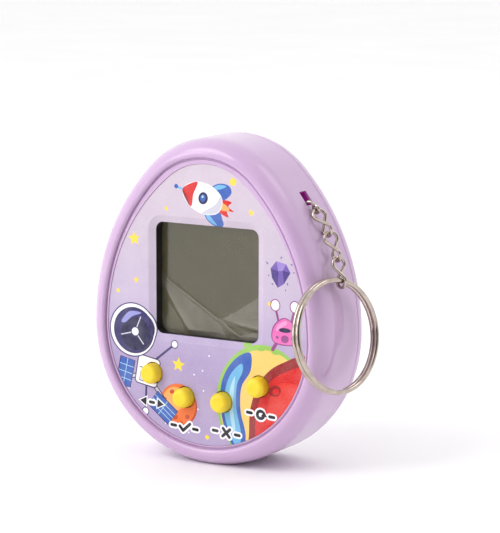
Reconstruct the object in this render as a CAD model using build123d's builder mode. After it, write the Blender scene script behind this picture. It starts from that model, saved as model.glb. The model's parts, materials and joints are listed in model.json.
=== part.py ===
"""Virtual pet keychain: an egg-shaped game with an LCD, four buttons, a chain and a split ring.

Units are millimetres. +Z is up, the face looks towards -Y and the chain hangs on the +X side.
The origin is the middle of the small flat that the egg stands on.
"""

import os
from math import asin, atan2, cos, degrees, radians, sin

from build123d import *

os.makedirs("parts", exist_ok=True)

# ---------------------------------------------------------------- driving dimensions

# egg outline of the case, seen from the front
CASE_HALF_WIDTH = 25.0
CASE_BASE = -0.3  # the outline's lowest point, cut away by the base flat at z = 0
CASE_CROWN = 60.0
CASE_CROWN_RADIUS = 17.7

# outline of the printed label
LABEL_HALF_WIDTH = 21.1
LABEL_BASE = 3.6
LABEL_CROWN = 55.6
LABEL_CROWN_RADIUS = 12.0
LABEL_EDGE_GAP = 0.06

# depths along y
FRONT = -8.5
BACK = 8.5
PARTING = 4.6
RING_FACE = -7.85  # raised ring between the rim's groove and the label
RECESS_FLOOR = -7.55  # the label is stuck to this
LABEL_FACE = -7.7
PLATE_BACK = -5.95
BOARD_FRONT = -1.6
BOARD_BACK = -0.6
REAR_PLATE_INSIDE = 6.7

WALL = 1.8
OVERLAP = 0.1  # how far the plates run into the shells' swept edges
RIM_WIDTH = 3.3  # from the outside of the case to the groove
RIM_CREST = 2.7
RIM_EDGE = 0.6  # how far the rim has rounded down where the groove starts
GROOVE_FLOOR = -7.5
GROOVE_WIDTH = 0.22
RING_EDGE = 0.2
INNER_CORNER = 0.9
REAR_CORNER = 1.2
BASE_CUT = 3.0
FRONT_ROUNDING = 4.3
REAR_ROUNDING = 3.4
PLATE_EDGE = 5.5  # how far in the swept edge of the shells reaches
SEAM_BREAK = 0.12

# window and LCD
WINDOW_WIDTH = 21.8
WINDOW_HEIGHT = 20.75
WINDOW_Z = 33.9
WINDOW_CORNER = 1.5
BEVEL = 1.3
BEVEL_DEPTH = 0.6
COLLAR_WALL = 0.5
COLLAR_GAP = 0.1
COLLAR_STEP = 0.05
FILM = 0.1
POLARISER = 0.2
GLASS = 0.55
ZEBRA_HEIGHT = 2.0
FRAME_HALF_WIDTH = 13.4
FRAME_BASE = 19.8
FRAME_CROWN = 46.6
FRAME_WALL = 0.9
FRAME_CORNER = 1.2
LCD_FACE = -4.95
LAYER_GAP = 0.1  # between the glass and the frame around it
FILM_MARGIN = 1.0  # how far the film reaches past the window
POLARISER_MARGIN = 0.8
REFLECTOR_INSET = 0.4

# buttons, from the left: where they are and what they do
BUTTONS = {
    "select": (-11.25, 16.0),
    "decide": (-4.3, 12.2),
    "cancel": (3.75, 12.2),
    "reset": (11.4, 15.9),
}
BUTTON_RADIUS = 1.85
BUTTON_TOP = -9.8
BUTTON_TRAVEL = 0.7
BUTTON_GAP = 0.2
BUTTON_ROUNDING = 0.9
BUTTON_FLANGE = 0.8
BUTTON_FLANGE_RADIUS = 2.6
BUTTON_STEM_RADIUS = 1.5
DOME_TOP = -3.6
MAT_FACE = -2.4
MAT_MARGIN = 3.4
DOME_BASE_RADIUS = 2.3
DOME_CROWN_RADIUS = 1.6
DOME_WALL = 0.1
PILL = 0.4
PILL_RADIUS = 1.1

# screws
CASE_SCREWS = [(-9.0, 51.2), (9.0, 51.2), (-13.6, 10.3), (13.6, 10.3)]
BOARD_SCREWS = [(-17.3, 22.0), (17.3, 22.0), (-16.2, 38.0), (16.2, 38.0)]
BOSS_MEETING = 4.0  # where the front and rear screw bosses touch
HEAD_GAP = 0.2
SHANK_GAP = 0.15
BOARD_POST_RADIUS = 1.8
BOARD_HEAD_RADIUS = 1.4
BOARD_HEAD_HEIGHT = 0.8
BOARD_SHANK_RADIUS = 0.7
BOARD_SHANK_LENGTH = 3.5
BOARD_PILOT = 4.0
CASE_BOSS_RADIUS = 2.3
CASE_HEAD_RADIUS = 1.8
CASE_HEAD_HEIGHT = 1.4
CASE_SHANK_RADIUS = 0.95
CASE_SHANK_LENGTH = 8.0
CASE_PILOT = 8.0
CASE_SCREW_SEAT = 6.0
# shares of a screw head's height or radius
HEAD_ROUNDING = 0.4
CROSS_DEPTH = 0.55
CROSS_LENGTH = 1.1
CROSS_WIDTH = 0.28

# batteries and their door
CELL_RADIUS = 5.8
CELL_HEIGHT = 5.4
CELL_X = 6.2
CELL_Z = 33.0
CELL_FLOOR = 1.6
CONTACT = 0.25
POCKET_HALF_WIDTH = 12.4
POCKET_HALF_HEIGHT = 6.4
POCKET_WALL = 1.0
DOOR_LEFT = -15.0
DOOR_RIGHT = 17.2
DOOR_HALF_HEIGHT = 7.2
DOOR_THICKNESS = 1.2
DOOR_GAP = 0.15
DOOR_CORNER = 1.6
DOOR_SCREW_X = 15.2
DOOR_BOSS_RADIUS = 2.2
DOOR_HEAD_RADIUS = 1.5
DOOR_SHANK_RADIUS = 0.8
DOOR_SHANK_LENGTH = 4.5
DOOR_PILOT = 5.5
DOOR_PILOT_GAP = 0.05
DOOR_SCREW_SEAT = 7.8
GRIPS = 3
GRIP_DEPTH = 0.3
GRIP_LENGTH = 8.0
GRIP_WIDTH = 0.5
GRIP_PITCH = 1.2
GRIP_INSET = 3.0
POCKET_FLOOR = 0.8
CELL_LID = 0.5
CELL_LID_RIM = 1.2
CELL_ROUNDING = 0.5
POSITIVE_TAIL = (-12.35, -12.1)  # in x
NEGATIVE_TAIL = (10.5, 10.75)
TAIL_HALF = 0.9
TAIL_GAP = 0.1
PAD_HALF = 2.5  # of the patches that touch the cells
PAD_LIFT = 0.6
TAB_HEIGHT = 3.6
LINK_GAP = 0.05

# lip of the rear shell that locates it in the front shell
LIP_GAP = 0.05
LIP_REACH = 1.2
LIP_THICKNESS = 0.8

# circuit board and what is on it
BOARD_INSET = 4.2
BOARD_BASE = 7.0
BOARD_NECK = 13.4
BOARD_SHOULDER = 43.0
BLOB_X = 0.0
BLOB_Z = 21.0
BLOB_RADIUS = 3.6
BLOB_HEIGHT = 1.0
BLOB_ROUNDING = 0.9
CHIP_LENGTH = 2.0
CHIP_WIDTH = 1.2
CHIP_HEIGHT = 0.6
CHIP_PLACES = [(-8.5, 22.5), (-8.5, 19.5), (8.5, 22.5), (8.5, 19.5), (12.0, 43.5)]
CRYSTAL_PLACE = (-9.0, 43.6)
CRYSTAL_LENGTH = 6.0
CRYSTAL_WIDTH = 2.0
CRYSTAL_HEIGHT = 1.2
BOARD_SCREW_GAP = 0.1
BOARD_BOSS_GAP = 0.4

# buzzer
BUZZER_SHEET = 0.2
SOUND_HOLE_RADIUS = 0.6
SOUND_HOLE_CIRCLE = 3.2
SOUND_HOLES = 6
LEAD_RADIUS = 0.3
LEAD_BEND = 1.0
LEAD_RUN = 2.2  # straight out of the board and out of the buzzer
LEAD_STEP = 3.2
BUZZER_Z = 13.5
BUZZER_RADIUS = 7.5
BUZZER_SEAT = 1.0  # width of the ring that it is glued to
BUZZER_FACE = 5.5
CERAMIC_RADIUS = 5.1

# chain slot in the right-hand wall, chain and split ring
SLOT_Z = 49.7
SLOT_Y = -0.4
SLOT_LENGTH = 2.9
SLOT_WIDTH = 2.4
SLOT_DEPTH = 3.6
SLOT_WALL = 0.8
SLOT_CUT = 2.0  # how far the cut starts outside the wall
PIN_RADIUS = 0.5
PIN_DEPTH = 2.0
PIN_LENGTH = 4.0
WIRE = 0.3
HOOK_SHIFT = -0.8  # how far the hook has slid along its pin, towards the front
UPPER_EYE = 0.83  # round the pin
LOWER_EYE = 0.7
HOOK_REACH = 0.95  # how far the lower eye's middle stands off the wall
HOOK_DROP = 2.8  # how far the lower eye's middle is below the slot's middle
HOOK_BEND = 1.05
LINK_RADIUS = 1.3
LINK_STRAIGHT = 2.84
LINK_TWIST = 0.5  # under 1, the sides leave the bends sooner and run straighter
WIRE_GAP = 0.03
RING_RADIUS = 10.0
RING_WIRE = 0.45
RING_REST = 0.08  # how far the ring lies below the middle of the last bend
RING_PITCH = 0.94
RING_TURNS = 1.93
# each link's direction as the chain hangs: outwards, and rearwards, for a drop of one
LINK_SLOPES = [(0.72, -0.13), (0.45, -0.11), (0.25, -0.12)]
LINK_YAWS = [60.0, 56.0, 66.0]  # of each link's upper bend, from +X
RING_HANG = (0.75, -3.1, -9.3)  # from the last link to the ring's centre
RING_YAW = 74.0  # of the ring's own plane, from +X


# ---------------------------------------------------------------- shared outlines


def facing(y):
    """The plane at depth y, seen from the front; what is extruded from it comes forwards."""
    return Plane.XZ.offset(-y)


def egg_arcs(half_width, base, crown, crown_radius):
    """The egg as a line: a round bottom, two long side arcs and a round crown, all tangent."""
    middle = base + half_width
    rise = crown - crown_radius - middle
    side = (half_width**2 + rise**2 - crown_radius**2) / (2 * (half_width - crown_radius))
    lean = degrees(atan2(rise, side - half_width))
    with BuildLine() as egg:
        CenterArc((0, middle), half_width, -90, 90)
        CenterArc((half_width - side, middle), side, 0, lean)
        CenterArc((0, crown - crown_radius), crown_radius, lean, 180 - 2 * lean)
        CenterArc((side - half_width, middle), side, 180 - lean, lean)
        CenterArc((0, middle), half_width, 180, 90)
    return egg.line


def case_arcs(inset):
    """The case's outline, moved inwards."""
    return egg_arcs(
        CASE_HALF_WIDTH - inset,
        CASE_BASE + inset,
        CASE_CROWN - inset,
        CASE_CROWN_RADIUS - inset,
    )


def case_face(inset):
    """The area inside the case's outline, moved inwards."""
    with BuildSketch() as face:
        with BuildLine():
            add(case_arcs(inset))
        make_face()
    return face.sketch


def label_face(inset):
    """The area inside the label's outline, moved inwards."""
    with BuildSketch() as face:
        with BuildLine():
            add(
                egg_arcs(
                    LABEL_HALF_WIDTH - inset,
                    LABEL_BASE + inset,
                    LABEL_CROWN - inset,
                    LABEL_CROWN_RADIUS - inset,
                )
            )
        make_face()
    return face.sketch


def case_path():
    """The case's outline standing in the XZ plane, as the path that a wall section follows."""
    return Plane.XZ * case_arcs(0)


def window_face(grow):
    """The window's rounded rectangle, larger all round by grow."""
    with BuildSketch() as face:
        with Locations((0, WINDOW_Z)):
            RectangleRounded(
                WINDOW_WIDTH + 2 * grow,
                WINDOW_HEIGHT + 2 * grow,
                WINDOW_CORNER + grow,
            )
    return face.sketch


def box_face(low_x, high_x, low_z, high_z):
    """A rectangle given by its sides."""
    with BuildSketch() as face:
        with Locations(((low_x + high_x) / 2, (low_z + high_z) / 2)):
            Rectangle(high_x - low_x, high_z - low_z)
    return face.sketch


def finish(piece, name):
    """Name a finished piece and write it."""
    piece.part.label = name
    export_step(piece.part, f"parts/{name}.step")


# ---------------------------------------------------------------- front shell

case_middle = CASE_BASE + CASE_HALF_WIDTH
case_rise = CASE_CROWN - CASE_CROWN_RADIUS - case_middle
case_side = (CASE_HALF_WIDTH**2 + case_rise**2 - CASE_CROWN_RADIUS**2) / (
    2 * (CASE_HALF_WIDTH - CASE_CROWN_RADIUS)
)

# the slot's own plane: x runs down the wall, y runs rearwards, z points out of the wall
slot_lean = asin((SLOT_Z - case_middle) / case_side)
slot_x = CASE_HALF_WIDTH - case_side + case_side * cos(slot_lean)
slot_plane = Plane(
    origin=(slot_x, SLOT_Y, SLOT_Z),
    x_dir=(sin(slot_lean), 0, -cos(slot_lean)),
    z_dir=(cos(slot_lean), 0, sin(slot_lean)),
)

# the pin's own plane: its axis runs rearwards through the slot
pin_middle = slot_plane.from_local_coords((0, 0, -PIN_DEPTH))
pin_plane = Plane(origin=pin_middle, x_dir=(1, 0, 0), z_dir=(0, 1, 0))

# wall sections are drawn at the lowest point of the outline: depth across, inset upwards
section_plane = Plane(origin=(0, 0, CASE_BASE), x_dir=(0, 1, 0), z_dir=(1, 0, 0))

with BuildPart() as front_shell:
    # rim, wall and the edge of the face plate: one section that follows the egg
    with BuildSketch(section_plane):
        with BuildLine():
            Polyline(
                (RING_FACE, RIM_WIDTH + GROOVE_WIDTH + RING_EDGE),
                (RING_FACE, PLATE_EDGE),
                (PLATE_BACK, PLATE_EDGE),
                (PLATE_BACK, WALL + INNER_CORNER),
                (PLATE_BACK + INNER_CORNER, WALL),
                (PARTING, WALL),
                (PARTING, SEAM_BREAK),
                (PARTING - SEAM_BREAK, 0),
                (FRONT + FRONT_ROUNDING, 0),
            )
            EllipticalCenterArc(
                (FRONT + FRONT_ROUNDING, RIM_CREST),
                FRONT_ROUNDING,
                RIM_CREST,
                start_angle=180,
                arc_size=90,
            )
            RadiusArc((FRONT, RIM_CREST), (FRONT + RIM_EDGE, RIM_WIDTH), RIM_WIDTH - RIM_CREST)
            Polyline(
                (FRONT + RIM_EDGE, RIM_WIDTH),
                (GROOVE_FLOOR, RIM_WIDTH),
                (GROOVE_FLOOR, RIM_WIDTH + GROOVE_WIDTH),
                (RING_FACE + RING_EDGE, RIM_WIDTH + GROOVE_WIDTH),
            )
            RadiusArc(
                (RING_FACE + RING_EDGE, RIM_WIDTH + GROOVE_WIDTH),
                (RING_FACE, RIM_WIDTH + GROOVE_WIDTH + RING_EDGE),
                -RING_EDGE,
            )
        make_face()
    sweep(path=case_path())
    # face plate, with the recess that the label is stuck into
    with BuildSketch(facing(PLATE_BACK)):
        add(case_face(PLATE_EDGE - OVERLAP))
    extrude(amount=PLATE_BACK - RING_FACE)
    with BuildSketch(facing(RECESS_FLOOR)):
        add(label_face(0))
    extrude(amount=RECESS_FLOOR - FRONT, mode=Mode.SUBTRACT)
    # window: a sunken bevel in front and room for the LCD frame's collar behind
    with BuildSketch(facing(RECESS_FLOOR)):
        add(window_face(BEVEL))
    with BuildSketch(facing(RECESS_FLOOR + BEVEL_DEPTH)):
        add(window_face(0))
    loft(mode=Mode.SUBTRACT)
    with BuildSketch(facing(PLATE_BACK)):
        add(window_face(COLLAR_WALL + COLLAR_GAP))
    extrude(amount=PLATE_BACK - RECESS_FLOOR - BEVEL_DEPTH + 2 * COLLAR_GAP, mode=Mode.SUBTRACT)
    # button holes
    with BuildSketch(facing(PLATE_BACK)):
        with Locations(*BUTTONS.values()):
            Circle(BUTTON_RADIUS + BUTTON_GAP)
    extrude(amount=PLATE_BACK - FRONT, mode=Mode.SUBTRACT)
    # posts for the board and bosses for the case screws
    with BuildSketch(facing(BOARD_FRONT)):
        with Locations(*BOARD_SCREWS):
            Circle(BOARD_POST_RADIUS)
    extrude(amount=BOARD_FRONT - PLATE_BACK)
    with BuildSketch(facing(BOSS_MEETING)):
        with Locations(*CASE_SCREWS):
            Circle(CASE_BOSS_RADIUS)
    extrude(amount=BOSS_MEETING - PLATE_BACK)
    # the block inside the wall that the chain slot is cut into
    with BuildSketch(slot_plane.offset(-WALL / 2)):
        Rectangle(SLOT_LENGTH + 2 * SLOT_WALL, SLOT_WIDTH + 2 * SLOT_WALL)
    extrude(amount=-(SLOT_DEPTH + SLOT_WALL - WALL / 2))
    # base flat
    with BuildSketch(Plane.XY):
        Rectangle(2 * CASE_HALF_WIDTH, 3 * BACK)
    extrude(amount=-BASE_CUT, mode=Mode.SUBTRACT)
    # screw pilots
    with BuildSketch(facing(BOARD_FRONT)):
        with Locations(*BOARD_SCREWS):
            Circle(BOARD_SHANK_RADIUS)
    extrude(amount=BOARD_PILOT, mode=Mode.SUBTRACT)
    with BuildSketch(facing(BOSS_MEETING)):
        with Locations(*CASE_SCREWS):
            Circle(CASE_SHANK_RADIUS)
    extrude(amount=CASE_PILOT, mode=Mode.SUBTRACT)
    # chain slot and the hole that its pin is pressed into
    with BuildSketch(slot_plane.offset(-SLOT_DEPTH)):
        Rectangle(SLOT_LENGTH, SLOT_WIDTH)
    extrude(amount=SLOT_DEPTH + SLOT_CUT, mode=Mode.SUBTRACT)
    with BuildSketch(pin_plane.offset(-PIN_LENGTH / 2)):
        Circle(PIN_RADIUS)
    extrude(amount=2 * PIN_LENGTH, mode=Mode.SUBTRACT)

finish(front_shell, "front_shell")

# ---------------------------------------------------------------- rear shell and battery door

door_middle = (DOOR_LEFT + DOOR_RIGHT) / 2
door_width = DOOR_RIGHT - DOOR_LEFT

with BuildPart() as rear_shell:
    # rounded wall and the edge of the rear plate
    with BuildSketch(section_plane):
        with BuildLine():
            Polyline((BACK - REAR_ROUNDING, 0), (PARTING + SEAM_BREAK, 0), (PARTING, SEAM_BREAK))
            Polyline(
                (PARTING, SEAM_BREAK),
                (PARTING, WALL + LIP_GAP),
                (PARTING - LIP_REACH, WALL + LIP_GAP),
                (PARTING - LIP_REACH, WALL + LIP_GAP + LIP_THICKNESS),
                (REAR_PLATE_INSIDE - REAR_CORNER, WALL + LIP_GAP + LIP_THICKNESS),
                (REAR_PLATE_INSIDE, WALL + LIP_GAP + LIP_THICKNESS + REAR_CORNER),
                (REAR_PLATE_INSIDE, PLATE_EDGE),
                (BACK, PLATE_EDGE),
                (BACK, REAR_ROUNDING),
            )
            CenterArc((BACK - REAR_ROUNDING, REAR_ROUNDING), REAR_ROUNDING, 0, -90)
        make_face()
    sweep(path=case_path())
    with BuildSketch(facing(BACK)):
        add(case_face(PLATE_EDGE - OVERLAP))
    extrude(amount=BACK - REAR_PLATE_INSIDE)
    # battery box, door screw boss and case screw bosses
    with BuildSketch(facing(REAR_PLATE_INSIDE)):
        with Locations((0, CELL_Z)):
            Rectangle(
                2 * (POCKET_HALF_WIDTH + POCKET_WALL), 2 * (POCKET_HALF_HEIGHT + POCKET_WALL)
            )
    extrude(amount=REAR_PLATE_INSIDE - CELL_FLOOR + POCKET_FLOOR)
    with BuildSketch(facing(REAR_PLATE_INSIDE)):
        with Locations((DOOR_SCREW_X, CELL_Z)):
            Circle(DOOR_BOSS_RADIUS)
    extrude(amount=DOOR_SHANK_LENGTH)
    with BuildSketch(facing(REAR_PLATE_INSIDE)):
        with Locations(*CASE_SCREWS):
            Circle(CASE_BOSS_RADIUS)
    extrude(amount=REAR_PLATE_INSIDE - BOSS_MEETING)
    # ring that the buzzer disc is glued to
    with BuildSketch(facing(REAR_PLATE_INSIDE)):
        with Locations((0, BUZZER_Z)):
            Circle(BUZZER_RADIUS)
            Circle(BUZZER_RADIUS - BUZZER_SEAT, mode=Mode.SUBTRACT)
    extrude(amount=REAR_PLATE_INSIDE - BUZZER_FACE - 2 * BUZZER_SHEET)
    # base flat
    with BuildSketch(Plane.XY):
        Rectangle(2 * CASE_HALF_WIDTH, 3 * BACK)
    extrude(amount=-BASE_CUT, mode=Mode.SUBTRACT)
    # battery pocket, door recess and door screw pilot
    with BuildSketch(facing(CELL_FLOOR)):
        with Locations((0, CELL_Z)):
            Rectangle(2 * POCKET_HALF_WIDTH, 2 * POCKET_HALF_HEIGHT)
    extrude(amount=-BACK, mode=Mode.SUBTRACT)
    with BuildSketch(facing(BACK - DOOR_THICKNESS)):
        with Locations((door_middle, CELL_Z)):
            RectangleRounded(
                door_width + 2 * DOOR_GAP,
                2 * (DOOR_HALF_HEIGHT + DOOR_GAP),
                DOOR_CORNER + DOOR_GAP,
            )
    extrude(amount=-BACK, mode=Mode.SUBTRACT)
    with BuildSketch(facing(BACK)):
        with Locations((DOOR_SCREW_X, CELL_Z)):
            Circle(DOOR_SHANK_RADIUS + DOOR_PILOT_GAP)
    extrude(amount=DOOR_PILOT, mode=Mode.SUBTRACT)
    # slits for the tails of the battery contacts
    with BuildSketch(facing(CELL_FLOOR)):
        for low_x, high_x in (POSITIVE_TAIL, NEGATIVE_TAIL):
            add(box_face(low_x, high_x, CELL_Z - TAIL_HALF, CELL_Z + TAIL_HALF))
    extrude(amount=POCKET_FLOOR, mode=Mode.SUBTRACT)
    # case screws: counterbore and clearance hole
    with BuildSketch(facing(CASE_SCREW_SEAT)):
        with Locations(*CASE_SCREWS):
            Circle(CASE_HEAD_RADIUS + HEAD_GAP)
    extrude(amount=-BACK, mode=Mode.SUBTRACT)
    with BuildSketch(facing(BACK)):
        with Locations(*CASE_SCREWS):
            Circle(CASE_SHANK_RADIUS + SHANK_GAP)
    extrude(amount=BACK, mode=Mode.SUBTRACT)
    # sound holes
    with BuildSketch(facing(BACK)):
        with Locations((0, BUZZER_Z)):
            Circle(SOUND_HOLE_RADIUS)
            with PolarLocations(SOUND_HOLE_CIRCLE, SOUND_HOLES):
                Circle(SOUND_HOLE_RADIUS)
    extrude(amount=BACK - REAR_PLATE_INSIDE, mode=Mode.SUBTRACT)

finish(rear_shell, "rear_shell")

with BuildPart() as battery_door:
    with BuildSketch(facing(BACK)):
        with Locations((door_middle, CELL_Z)):
            RectangleRounded(door_width, 2 * DOOR_HALF_HEIGHT, DOOR_CORNER)
    extrude(amount=DOOR_THICKNESS)
    # grip grooves at the end that is lifted last
    with BuildSketch(facing(BACK - GRIP_DEPTH)):
        with Locations((DOOR_LEFT + GRIP_INSET, CELL_Z)):
            with GridLocations(GRIP_PITCH, 0, GRIPS, 1):
                SlotOverall(GRIP_LENGTH, GRIP_WIDTH, rotation=90)
    extrude(amount=-DOOR_THICKNESS, mode=Mode.SUBTRACT)
    with BuildSketch(facing(DOOR_SCREW_SEAT)):
        with Locations((DOOR_SCREW_X, CELL_Z)):
            Circle(DOOR_HEAD_RADIUS + SHANK_GAP)
    extrude(amount=-DOOR_THICKNESS, mode=Mode.SUBTRACT)
    with BuildSketch(facing(BACK)):
        with Locations((DOOR_SCREW_X, CELL_Z)):
            Circle(DOOR_SHANK_RADIUS + SHANK_GAP)
    extrude(amount=DOOR_THICKNESS, mode=Mode.SUBTRACT)

finish(battery_door, "battery_door")

# ---------------------------------------------------------------- label and screen

with BuildPart() as face_label:
    with BuildSketch(facing(RECESS_FLOOR)):
        add(label_face(LABEL_EDGE_GAP))
    extrude(amount=RECESS_FLOOR - LABEL_FACE)
    # the label is pressed down the window's bevel
    with BuildSketch(facing(RECESS_FLOOR)):
        add(window_face(BEVEL))
    with BuildSketch(facing(RECESS_FLOOR + BEVEL_DEPTH)):
        add(window_face(0))
    loft()
    with BuildSketch(facing(LABEL_FACE)):
        add(window_face(BEVEL))
    with BuildSketch(facing(LABEL_FACE + BEVEL_DEPTH)):
        add(window_face(0))
    loft(mode=Mode.SUBTRACT)
    with BuildSketch(facing(0)):
        add(window_face(0))
    extrude(amount=-LABEL_FACE - BEVEL_DEPTH, mode=Mode.SUBTRACT)
    with BuildSketch(facing(0)):
        with Locations(*BUTTONS.values()):
            Circle(BUTTON_RADIUS + BUTTON_GAP)
    extrude(amount=-FRONT, mode=Mode.SUBTRACT)

finish(face_label, "face_label")

with BuildPart() as lcd_frame:
    with BuildSketch(facing(BOARD_FRONT)):
        add(box_face(-FRAME_HALF_WIDTH, FRAME_HALF_WIDTH, FRAME_BASE, FRAME_CROWN))
    extrude(amount=BOARD_FRONT - PLATE_BACK)
    fillet(lcd_frame.edges().filter_by(Axis.Y), FRAME_CORNER)
    with BuildSketch(facing(PLATE_BACK)):
        add(window_face(COLLAR_WALL))
    extrude(amount=PLATE_BACK - RECESS_FLOOR - BEVEL_DEPTH)
    with BuildSketch(facing(BOARD_FRONT)):
        add(window_face(COLLAR_STEP))
    extrude(amount=BOARD_FRONT - FRONT, mode=Mode.SUBTRACT)
    with BuildSketch(facing(BOARD_FRONT)):
        add(
            box_face(
                -FRAME_HALF_WIDTH + FRAME_WALL,
                FRAME_HALF_WIDTH - FRAME_WALL,
                FRAME_BASE + FRAME_WALL,
                FRAME_CROWN - FRAME_WALL,
            )
        )
    extrude(amount=BOARD_FRONT - LCD_FACE + FILM, mode=Mode.SUBTRACT)

finish(lcd_frame, "lcd_frame")

glass_x = FRAME_HALF_WIDTH - FRAME_WALL - LAYER_GAP
glass_base = FRAME_BASE + FRAME_WALL + LAYER_GAP
glass_crown = FRAME_CROWN - FRAME_WALL - LAYER_GAP
rear_glass_base = glass_base + ZEBRA_HEIGHT + 4 * LAYER_GAP
reflector_x = glass_x - REFLECTOR_INSET


def flat_piece(face, back, front):
    """A flat piece standing behind the window, between two depths."""
    with BuildPart() as piece:
        with BuildSketch(facing(back)):
            add(face)
        extrude(amount=back - front)
    return piece


front_glass_face = LCD_FACE + POLARISER
front_glass_back = front_glass_face + GLASS
rear_glass_back = front_glass_back + GLASS
LAYERS = {
    "screen_film": (window_face(FILM_MARGIN), LCD_FACE, LCD_FACE - FILM),
    "lcd_front_polariser": (window_face(POLARISER_MARGIN), front_glass_face, LCD_FACE),
    "lcd_front_glass": (
        box_face(-glass_x, glass_x, glass_base, glass_crown),
        front_glass_back,
        front_glass_face,
    ),
    "lcd_rear_glass": (
        box_face(-glass_x, glass_x, rear_glass_base, glass_crown),
        rear_glass_back,
        front_glass_back,
    ),
    "lcd_reflector": (
        box_face(
            -reflector_x,
            reflector_x,
            rear_glass_base + REFLECTOR_INSET,
            glass_crown - REFLECTOR_INSET,
        ),
        rear_glass_back + POLARISER,
        rear_glass_back,
    ),
    "zebra_strip": (
        box_face(
            -reflector_x, reflector_x, glass_base + LAYER_GAP, glass_base + ZEBRA_HEIGHT
        ),
        BOARD_FRONT,
        front_glass_back,
    ),
}
for name, (face, back, front) in LAYERS.items():
    finish(flat_piece(face, back, front), name)

# ---------------------------------------------------------------- circuit board and what is on it

with BuildPart() as circuit_board:
    with BuildSketch(facing(BOARD_BACK)):
        add(case_face(BOARD_INSET))
        add(box_face(-CASE_HALF_WIDTH, CASE_HALF_WIDTH, 0, BOARD_BASE), mode=Mode.SUBTRACT)
        add(box_face(-CASE_HALF_WIDTH, CASE_HALF_WIDTH, FRAME_CROWN, CASE_CROWN), mode=Mode.SUBTRACT)
        for low_x, high_x in ((-CASE_HALF_WIDTH, -BOARD_NECK), (BOARD_NECK, CASE_HALF_WIDTH)):
            add(box_face(low_x, high_x, BOARD_SHOULDER, CASE_CROWN), mode=Mode.SUBTRACT)
        with Locations(*CASE_SCREWS):
            Circle(CASE_BOSS_RADIUS + BOARD_BOSS_GAP, mode=Mode.SUBTRACT)
        with Locations(*BOARD_SCREWS):
            Circle(BOARD_SHANK_RADIUS + BOARD_SCREW_GAP, mode=Mode.SUBTRACT)
    extrude(amount=BOARD_BACK - BOARD_FRONT)

finish(circuit_board, "circuit_board")

with BuildPart() as chip_blob:
    with BuildSketch(facing(BOARD_BACK)):
        with Locations((BLOB_X, BLOB_Z)):
            Circle(BLOB_RADIUS)
    extrude(amount=-BLOB_HEIGHT)
    fillet(chip_blob.faces().sort_by(Axis.Y)[-1].edges(), BLOB_ROUNDING)

finish(chip_blob, "chip_blob")

with BuildPart() as board_components:
    with BuildSketch(facing(BOARD_BACK)):
        with Locations(*CHIP_PLACES):
            Rectangle(CHIP_LENGTH, CHIP_WIDTH)
    extrude(amount=-CHIP_HEIGHT)
    with BuildSketch(facing(BOARD_BACK)):
        with Locations(CRYSTAL_PLACE):
            SlotOverall(CRYSTAL_LENGTH, CRYSTAL_WIDTH)
    extrude(amount=-CRYSTAL_HEIGHT)

finish(board_components, "board_components")

# ---------------------------------------------------------------- screws


def screws(places, seat, head_radius, head_height, shank_radius, shank_length):
    """Pan-head screws driven forwards: each head stands behind its seat, with a cross recess."""
    with BuildPart() as group:
        with BuildSketch(facing(seat)):
            with Locations(*places):
                Circle(shank_radius)
        extrude(amount=shank_length)
        with BuildSketch(facing(seat)):
            with Locations(*places):
                Circle(head_radius)
        extrude(amount=-head_height)
        rims = group.faces().group_by(Axis.Y)[-1].edges()
        fillet(rims, HEAD_ROUNDING * head_height)
        with BuildSketch(facing(seat + (1 - CROSS_DEPTH) * head_height)):
            with Locations(*places):
                Rectangle(CROSS_LENGTH * head_radius, CROSS_WIDTH * head_radius)
                Rectangle(CROSS_WIDTH * head_radius, CROSS_LENGTH * head_radius)
        extrude(amount=-head_height, mode=Mode.SUBTRACT)
    return group


finish(
    screws(
        BOARD_SCREWS,
        BOARD_BACK,
        BOARD_HEAD_RADIUS,
        BOARD_HEAD_HEIGHT,
        BOARD_SHANK_RADIUS,
        BOARD_SHANK_LENGTH,
    ),
    "board_screws",
)
finish(
    screws(
        CASE_SCREWS,
        CASE_SCREW_SEAT,
        CASE_HEAD_RADIUS,
        CASE_HEAD_HEIGHT,
        CASE_SHANK_RADIUS,
        CASE_SHANK_LENGTH,
    ),
    "case_screws",
)
finish(
    screws(
        [(DOOR_SCREW_X, CELL_Z)],
        DOOR_SCREW_SEAT,
        DOOR_HEAD_RADIUS,
        BACK - DOOR_SCREW_SEAT,
        DOOR_SHANK_RADIUS,
        DOOR_SHANK_LENGTH,
    ),
    "battery_door_screw",
)

# ---------------------------------------------------------------- buttons and keypad

for name, (x, z) in BUTTONS.items():
    with BuildPart() as button:
        with BuildSketch(facing(PLATE_BACK)):
            with Locations((x, z)):
                Circle(BUTTON_RADIUS)
        extrude(amount=PLATE_BACK - BUTTON_TOP)
        fillet(button.faces().sort_by(Axis.Y)[0].edges(), BUTTON_ROUNDING)
        with BuildSketch(facing(PLATE_BACK)):
            with Locations((x, z)):
                Circle(BUTTON_FLANGE_RADIUS)
        extrude(amount=-BUTTON_FLANGE)
        with BuildSketch(facing(PLATE_BACK + BUTTON_FLANGE)):
            with Locations((x, z)):
                Circle(BUTTON_STEM_RADIUS)
        extrude(amount=-(DOME_TOP - PLATE_BACK - BUTTON_FLANGE))
    finish(button, f"button_{name}")

# a key's travel ends when its carbon pill meets the board
pill_back = BOARD_FRONT - BUTTON_TRAVEL
pill_front = pill_back - PILL

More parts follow.
